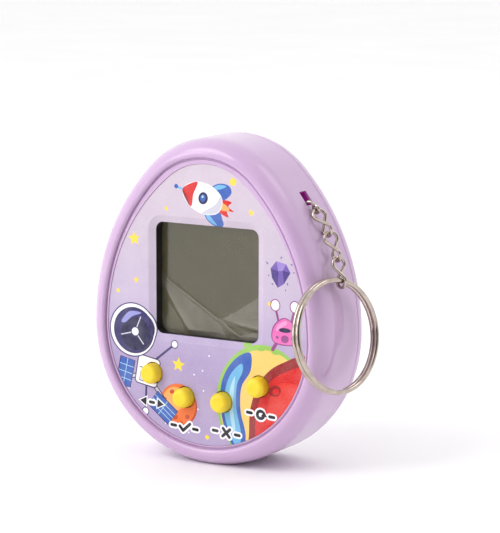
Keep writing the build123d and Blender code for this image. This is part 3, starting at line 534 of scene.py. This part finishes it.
def rocket(x, z, turn, scale):
    def at(points):
        return placed([(scale * u, scale * v) for u, v in points], x, z, turn)

    for side in (1, -1):
        paint("blue", at(smooth([(-0.9, 2.0 * side), (-2.3, 3.9 * side), (-4.6, 4.4 * side), (-5.6, 3.1 * side), (-3.9, 1.0 * side)])))
        paint("sky", at(smooth([(-1.2, 2.3 * side), (-2.4, 3.7 * side), (-4.2, 4.1 * side), (-3.0, 3.0 * side)])))
    paint("red", at(smooth([(-3.9, 1.1), (-6.4, 1.5), (-5.7, 0.4), (-7.3, 0.0), (-5.7, -0.5), (-6.2, -1.6), (-3.9, -1.1)], 3)))
    paint("apricot", at(smooth([(-3.9, 0.6), (-5.2, 0.6), (-6.2, 0.0), (-5.2, -0.6), (-3.9, -0.6)], 4)))
    paint("sky", *(at(shape) for shape in stroke([(4.6, 0), (6.2, 0)], 0.4)))
    paint("blue", at(oval(6.4, 0, 0.45, count=16)))
    paint("white", at(smooth([(4.9, 0), (2.9, 2.3), (-0.6, 3.0), (-3.6, 1.9), (-4.4, 0), (-3.6, -1.9), (-0.6, -3.0), (2.9, -2.3)])))
    paint("grey", at(smooth([(-0.6, 2.9), (-3.5, 1.8), (-4.3, 0), (-3.6, -1.8), (-2.9, 0.2)])))
    paint("red", at(smooth([(4.9, 0), (4.1, 1.2), (2.5, 2.45), (2.0, 2.2), (2.3, 0), (2.0, -2.2), (2.5, -2.45), (4.1, -1.2)])))
    paint("maroon", at(smooth([(4.9, 0), (4.1, 1.2), (2.5, 2.45), (3.3, 1.1)])))
    paint("night", at(oval(0, 0, 1.05, 1.2)))
    paint("blue", at(oval(0.05, 0, 0.62, 0.75)))
    paint("ice", at(oval(0.2, -0.25, 0.22, 0.28, count=12)))


def solar_panel(x, z, wide, high, turn):
    """A blue panel ruled into cells."""
    lined("blue", placed([(-wide, -high), (wide, -high), (wide, high), (-wide, high)], x, z, turn))
    for share in (-0.5, 0, 0.5):
        across = placed([(-wide, share * high), (wide, share * high)], x, z, turn)
        paint("ice", *stroke(across, 0.12))
    paint("ice", *stroke(placed([(0, -high), (0, high)], x, z, turn), 0.12))


def satellite():
    """A white box with a big dish, two solar panels on booms and two whip aerials."""
    for boom in ([(-12.6, 15.6), (-17.8, 14.6)], [(-12.6, 15.6), (-9.0, 11.2)]):
        paint("navy", *stroke(boom, 0.95))
        paint("grey", *stroke(boom, 0.55))
    solar_panel(-17.4, 15.6, 1.5, 2.6, -12)
    solar_panel(-9.2, 9.6, 2.7, 1.6, -38)
    for aerial in ([(-11.4, 18.0), (-6.6, 21.8)], [(-12.8, 13.6), (-13.0, 8.6)]):
        paint("navy", *stroke(aerial, 0.42))
        lined("white", oval(*aerial[1], 0.62, count=18), width=0.18)
    lined("white", placed(rounded_box(-2.3, 2.3, -2.6, 2.6, 0.6), -12.5, 16.2, -10))
    lined("grey", placed([(-1.3, -0.7), (1.3, -0.7), (1.3, 0.7), (-1.3, 0.7)], -12.9, 14.9, -10), width=0.16)
    paint("navy", *stroke([(-14.2, 16.9), (-10.4, 16.2)], 0.18))
    lined("white", oval(-15.7, 23.7, 4.9, 4.9, count=48))
    lined("navy", oval(-15.5, 23.6, 4.2, 4.15, count=44), "night", 0.2)
    paint("night", oval(-15.0, 23.0, 3.3, 3.1, count=36))
    paint("periwinkle", smooth([(-18.2, 25.2), (-16.4, 27.1), (-13.8, 27.0), (-15.8, 26.2), (-17.4, 24.9)]))
    for foot in ((-18.2, 22.6), (-14.0, 26.2), (-13.4, 21.2)):
        paint("grey", *stroke([foot, (-15.2, 23.4)], 0.22))
    lined("white", oval(-15.2, 23.4, 0.75, count=20), width=0.18)


def rock(x, z):
    def at(*points):
        return placed(list(points), x, z)

    paint("violet", at((-1.9, 0.7), (-1.6, -1.0), (-0.4, -2.7), (0.9, -1.9), (2.2, 0.2), (1.3, 1.7), (-0.7, 2.1)))
    paint("indigo", at((-1.9, 0.7), (-1.6, -1.0), (-0.4, -2.7), (-0.3, 0.3)))
    paint("indigo", at((0.9, -1.9), (2.2, 0.2), (0.6, 0.5)))
    paint("lavender", at((-0.7, 2.1), (-0.3, 0.3), (0.6, 0.5), (1.3, 1.7)))
    for u, v, size in ((-2.6, 1.6, 0.3), (-2.3, -0.6, 0.22), (2.5, 1.7, 0.3), (2.9, 0.3, 0.2), (0.3, 2.8, 0.25), (1.6, -1.9, 0.28), (-1.5, -2.1, 0.24), (1.2, -3.0, 0.2)):
        paint("violet", placed([(-size, -size), (size, 0), (0, size)], x + u, z + v, 40 * u))


def lander(x, z):
    """A little domed craft with two whip aerials, standing on the big planet."""
    for side in (-1, 1):
        paint("plum", *stroke(placed([(1.2 * side, 1.2), (2.0 * side, 4.2)], x, z), 0.45))
        lined("white", oval(x + 2.0 * side, z + 4.5, 0.85, 0.95, count=20), "plum", 0.2)
        paint("plum", *stroke(placed([(1.5 * side, -2.0), (2.5 * side, -3.6)], x, z), 0.7))
    lined("pink", smooth(placed([(-2.4, -1.9), (-2.2, 0.6), (0, 2.2), (2.2, 0.6), (2.4, -1.9), (0, -2.5)], x, z)), "plum")
    paint("rose", smooth(placed([(-1.8, -0.2), (-1.5, 0.9), (0, 1.8), (0.4, 1.3), (-0.9, 0.4)], x, z)))
    paint("night", oval(x, z + 0.1, 1.25, 0.42, count=24))
    paint("plum", oval(x, z - 1.5, 0.8, 0.7, count=20))
    for side in (-1, 1):
        paint("plum", oval(x + 1.6 * side, z - 1.3, 0.3, count=12))


CAPTION_TURN = -4.0
CAPTION_SCALE = 1.12
RING_ARROW = [(0.62 * cos(radians(a)), 0.62 * sin(radians(a))) for a in range(60, 361, 30)]
# the mark over each caption: strokes, then solid shapes
MARKS = {
    "select": ([], [[(-2.3, 0), (-1.1, -0.7), (-1.1, 0.7)], [(2.3, 0), (1.1, 0.7), (1.1, -0.7)]]),
    "decide": ([[(-0.9, 0.05), (-0.25, -0.6), (1.0, 0.7)]], []),
    "cancel": ([[(-0.65, -0.65), (0.65, 0.65)], [(-0.65, 0.65), (0.65, -0.65)]], []),
    "reset": ([RING_ARROW], [[(0.1, -0.2), (1.2, -0.2), (0.65, 0.65)]]),
}
# how far each caption's middle is from its button's, across and down
CAPTION_STEPS = {"select": (-0.35, 5.6), "decide": (-0.2, 5.7), "cancel": (0.7, 5.7), "reset": (0.3, 5.2)}


def captions():
    """A plain mark for each button in place of a word: black, edged in white."""
    for name, (across, down) in CAPTION_STEPS.items():
        button_low, button_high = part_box(f"button_{name}")
        x = (button_low.x + button_high.x) / 2 / MM + across
        z = (button_low.z + button_high.z) / 2 / MM - down
        lines, solids = MARKS[name]
        if name == "select":
            lines = lines + [[(-0.35, 0), (0.35, 0)]]
        else:
            lines = lines + [[(-2.5, 0), (-1.7, 0)], [(1.7, 0), (2.5, 0)]]
        for ink, width, edge in (("white", 1.3, 0.4), ("black", 0.58, 0.04)):
            for line in lines:
                line = [(CAPTION_SCALE * u, CAPTION_SCALE * v) for u, v in line]
                paint(ink, *stroke(placed(line, x, z, CAPTION_TURN), width))
            for solid in solids:
                solid = [(CAPTION_SCALE * u, CAPTION_SCALE * v) for u, v in solid]
                paint(ink, placed(grown(solid, edge), x, z, CAPTION_TURN))


STARS = ((-15.3, 40.8, 1.4, 5), (-14.9, 33.1, 0.68, 0), (9.7, 47.4, 0.7, 10), (-5.8, 18.1, 1.45, -6))
SPOTS = ((5.9, 52.7, 0.68), (-18.9, 30.8, 0.38), (-8.3, 46.9, 0.36), (13.6, 31.2, 0.42), (0.4, 5.2, 0.42))
GLINTS = ((-2.4, 16.6), (-0.6, 17.5), (-0.4, 13.8), (-16.6, 12.6), (-3.6, 5.6), (-8.6, 6.8), (0.8, 20.4), (-1.6, 10.2))

for x, z, radius, turn in STARS:
    paint("yellow", star(x, z, radius, turn))
for x, z, radius in SPOTS:
    paint("yellow", oval(x, z, radius, count=18))
for x, z in GLINTS:
    paint("white", oval(x, z, 0.17, count=10))
rocket(-0.4, 49.3, 162.5, 0.94)
rock(15.6, 37.0)
big_planet()
lander(16.7, 26.6)
small_planet()
satellite()
captions()

# ---------------------------------------------------------------- the printed label

LABEL_CROWN_RADIUS = 11.94
WINDOW_CORNER = 1.5
WINDOW_MARGIN = 1.0  # how far the film reaches past the window
BEVEL = 1.3
BEVEL_DEPTH = 0.6
BUTTON_HOLE = 2.05
LABEL_THICKNESS = 0.12


def ink(name, colour, grain=0.07):
    """Printed colour under a frosted film: fine pale grain, and a little unevenness."""
    m = Nodes(f"ink_{name}")
    base = m.mix(m.span(m.noise(3 * MM, 3), 0.35, 0.65, 0, 0.05), colour, linear(255, 255, 255))
    speckle = m.span(m.noise(0.16 * MM, 2), 0.5, 0.68, 0, grain)
    dots = m.span(m.noise(0.22 * MM, 1), 0.3, 0.42, grain * 0.5, 0)
    shade = m.mix(dots, base, linear(90, 70, 120))
    m.set(
        Base_Color=m.mix(speckle, shade, linear(255, 250, 255)),
        Roughness=m.span(m.noise(0.3 * MM, 3), 0.3, 0.7, 0.42, 0.6),
        Specular_IOR_Level=0.3,
    )
    m.bump(m.noise(0.18 * MM, 2), 0.012 * MM)
    return m


def label_ground(low, high):
    """The label's own colour: pale at the top, deeper and bluer towards the bottom."""
    m = ink("ground", linear(228, 214, 230), 0.14)
    ramp = m.tree.nodes.new("ShaderNodeValToRGB")
    m.join(m.span(m.axis("Z"), low.z, high.z), ramp.inputs[0])
    steps = (
        (0.0, (178, 160, 198)),
        (0.3, (171, 153, 194)),
        (0.5, (196, 180, 207)),
        (0.75, (203, 188, 206)),
        (1.0, (209, 194, 208)),
    )
    for position, colour in steps[:-1]:
        ramp.color_ramp.elements.new(position).color = linear(*colour)
    ramp.color_ramp.elements[0].color = linear(*steps[0][1])
    ramp.color_ramp.elements[-1].color = linear(*steps[-1][1])
    first_mix = [n for n in m.tree.nodes if n.type == "MIX"][0]
    m.join(ramp.outputs[0], first_mix.inputs[6])
    return m


def printed_label():
    """The label as one sheet, cut along every line of the artwork and pressed down the window's bevel."""
    low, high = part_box("face_label")
    film_low, film_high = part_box("screen_film")
    window = [
        film_low.x / MM + WINDOW_MARGIN,
        film_high.x / MM - WINDOW_MARGIN,
        film_low.z / MM + WINDOW_MARGIN,
        film_high.z / MM - WINDOW_MARGIN,
    ]
    rim = [window[0] - BEVEL, window[1] + BEVEL, window[2] - BEVEL, window[3] + BEVEL]
    outline = egg(high.x / MM, low.z / MM, high.z / MM, LABEL_CROWN_RADIUS)
    holes = [rounded_box(*window, WINDOW_CORNER)]
    for node in frame["nodes"]:
        if node.startswith("button_"):
            button_low, button_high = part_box(node)
            middle = (button_low + button_high) / 2 / MM
            holes.append(oval(middle.x, middle.z, BUTTON_HOLE, count=40))
    shapes = [("ground", outline), *layers]
    points, faces = [], []
    for name, shape in [*shapes, ("bevel", rounded_box(*rim, WINDOW_CORNER + BEVEL)), *(("hole", h) for h in holes)]:
        shape = shape if area(shape) > 0 else shape[::-1]
        faces.append(list(range(len(points), len(points) + len(shape))))
        points.extend(Vector(point) for point in shape)
    places, _, triangles, _, _, sources = delaunay_2d_cdt(points, [], faces, 1, 1e-4, True)
    first_hole = len(faces) - len(holes)
    bevel = first_hole - 1
    names = ["ground", *INKS]
    kept, kinds = [], []
    for triangle, source in zip(triangles, sources):
        over = [k for k in source if k != bevel]
        if 0 not in source or max(over) >= first_hole:
            continue
        kept.append(triangle)
        kinds.append(names.index(shapes[max(over)][0]))
    middle_x, middle_z = (window[0] + window[1]) / 2, (window[2] + window[3]) / 2
    half_x, half_z = (window[1] - window[0]) / 2 - WINDOW_CORNER, (window[3] - window[2]) / 2 - WINDOW_CORNER
    corners = []
    for x, z in places:
        past_x, past_z = max(abs(x - middle_x) - half_x, 0), max(abs(z - middle_z) - half_z, 0)
        away = hypot(past_x, past_z) - WINDOW_CORNER
        sunk = BEVEL_DEPTH * min(max(1 - away / BEVEL, 0), 1)
        corners.append((x * MM, low.y + sunk * MM, z * MM))
    mesh = bpy.data.meshes.new("printed_label")
    mesh.from_pydata(corners, [], kept)
    mesh.materials.append(label_ground(low, high).material)
    for name, colour in INKS.items():
        grain = 0.02 if name in DARK_INKS else 0.07
        mesh.materials.append(ink(name, linear(*colour), grain).material)
    mesh.polygons.foreach_set("material_index", kinds)
    label = bpy.data.objects.new("printed_label", mesh)
    scene.collection.objects.link(label)
    thick = label.modifiers.new("thickness", "SOLIDIFY")
    thick.thickness = LABEL_THICKNESS * MM
    thick.offset = -1
    bpy.context.view_layer.update()
    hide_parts("face_label")
    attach(label, "case")


printed_label()

# ---------------------------------------------------------------- the creased film over the window

FILM_STEP = 0.25
FILM_LIFT = 0.85  # how far the highest fold stands off the film's plane
FILM_EASE = 1.0  # the flat border that is held under the case, and then as much again to rise
FOLD_BACK = 0.8  # width of a fold's lower side
# each fold: where its ridge starts and ends, and at those ends its upper side's width and its height
# painted highlight on the folds: how much pale diffuse each fold material mixes in; faces turned upwards get the
# stronger one
FOLD_PAINTED_HIGHLIGHTS = {"film_fold_under": 0.06, "film_fold": 0.2}
FOLDS = (
    ((-12.2, 34.4), (-3.4, 22.4), (0.5, 6.4), (0.1, 1.0)),
    ((12.2, 25.3), (2.2, 26.9), (9.0, 0.4), (1.0, 0.05)),
    ((-12.2, 34.6), (2.0, 26.2), (0.5, 0.5), (0.2, 0.25)),
    ((1.6, 22.7), (12.2, 23.9), (0.5, 2.4), (0.15, 0.5)),
    ((-11.8, 27.0), (-9.2, 22.4), (1.2, 1.6), (0.2, 0.3)),
)


def fold(x, z, start, end, widths, heights):
    """How high one fold lifts the film here: a long flat side above its ridge, a short one below."""
    run_x, run_z = end[0] - start[0], end[1] - start[1]
    length = hypot(run_x, run_z)
    share = ((x - start[0]) * run_x + (z - start[1]) * run_z) / length**2
    share = min(max(share, 0), 1)
    across = ((z - start[1]) * run_x - (x - start[0]) * run_z) / length
    above = across if run_x > 0 else -across
    side = widths[0] + (widths[1] - widths[0]) * share if above > 0 else FOLD_BACK
    return (heights[0] + (heights[1] - heights[0]) * share) * max(1 - abs(above) / side, 0)


def creased_film():
    """The loose protective film, pinched into creases across the lower part of the window."""
    low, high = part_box("screen_film")
    wide, tall = (high.x - low.x) / MM, (high.z - low.z) / MM
    columns, rows = round(wide / FILM_STEP), round(tall / FILM_STEP)
    points, lifts = [], []
    for row in range(rows + 1):
        for column in range(columns + 1):
            x = low.x / MM + wide * column / columns
            z = low.z / MM + tall * row / rows
            edge = min(x - low.x / MM, high.x / MM - x, z - low.z / MM, high.z / MM - z)
            inside = min(max(edge / FILM_EASE - 1, 0), 1)
            lift = max(fold(x, z, *shape) for shape in FOLDS)
            lifts.append(lift)
            slack = 0.03 * (1 + sin(0.9 * x + 0.5 * z) * cos(0.7 * z))
            points.append((x * MM, low.y - FILM_LIFT * inside * max(lift, slack) * MM, z * MM))
    faces, kinds = [], []
    for row in range(rows):
        for column in range(columns):
            first = row * (columns + 1) + column
            faces.append((first, first + 1, first + columns + 2, first + columns + 1))
            raised = lifts[first] > 0.03 and lifts[first + columns + 2] > 0.03
            # fold faces that turn upwards take the stronger painted highlight (film_fold), faces turned down the
            # weaker (film_fold_under)
            kinds.append((2 if lifts[first + columns + 1] < lifts[first] else 1) if raised else 0)
    mesh = bpy.data.meshes.new("creased_film")
    mesh.from_pydata(points, [], faces)
    mesh.materials.append(MATERIALS["clear_film"])
    for name, haze_and_highlight in FOLD_PAINTED_HIGHLIGHTS.items():
        mesh.materials.append(film(name, haze_and_highlight))
    mesh.polygons.foreach_set("material_index", kinds)
    mesh.polygons.foreach_set("use_smooth", [True] * len(faces))
    film_sheet = bpy.data.objects.new("creased_film", mesh)
    scene.collection.objects.link(film_sheet)
    bpy.context.view_layer.update()
    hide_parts("screen_film")
    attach(film_sheet, "case")


creased_film()

# ---------------------------------------------------------------- floor

m = Nodes("floor")
m.set(
    Base_Color=m.mix(m.span(m.noise(0.05, 3), 0.3, 0.7), linear(252, 251, 252), linear(254, 254, 254)),
    Roughness=m.span(m.noise(0.01, 4), 0.3, 0.7, 0.45, 0.6),
)
floor_mesh = bpy.data.meshes.new("floor")
floor_mesh.from_pydata([(-8, -8, 0), (8, -8, 0), (8, 8, 0), (-8, 8, 0)], [], [(0, 1, 2, 3)])
floor_mesh.materials.append(m.material)
floor = bpy.data.objects.new("floor", floor_mesh)
scene.collection.objects.link(floor)
